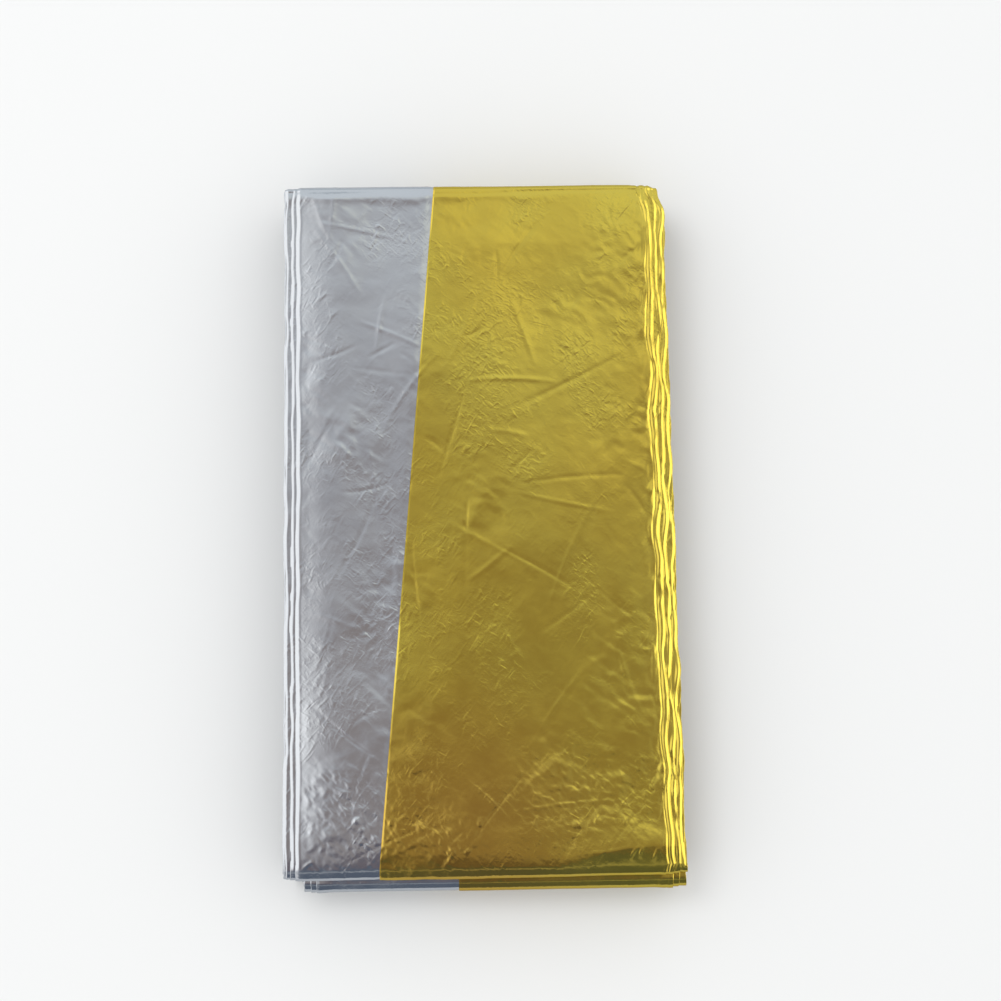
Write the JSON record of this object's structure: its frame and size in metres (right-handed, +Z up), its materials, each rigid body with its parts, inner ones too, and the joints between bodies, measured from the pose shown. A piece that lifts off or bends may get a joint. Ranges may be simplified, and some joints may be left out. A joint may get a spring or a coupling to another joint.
{
  "type": "folded foil emergency blanket",
  "caption": "Emergency blanket of thin gold and silver metallised film, pleated and fan folded into a flat oblong packet with rolled ends and lipped sides.",
  "frame": {"origin": "on the surface under the middle of the folded packet", "axes": "+Y along the packet's length, from its rolled near end to its closed far end; +X across it, from the stepped silver edge to the crumpled gold edge; +Z up out of its face"},
  "size_m": [0.0869, 0.1541, 0.0178],
  "materials": {
    "metallised_film": "vacuum metallised polyester film, gold lacquered on the outer face and bare bright silver on the other, finely crinkled"
  },
  "bodies": {
    "root": {"folded_film": "metallised_film"}
  },
  "joints": []
}
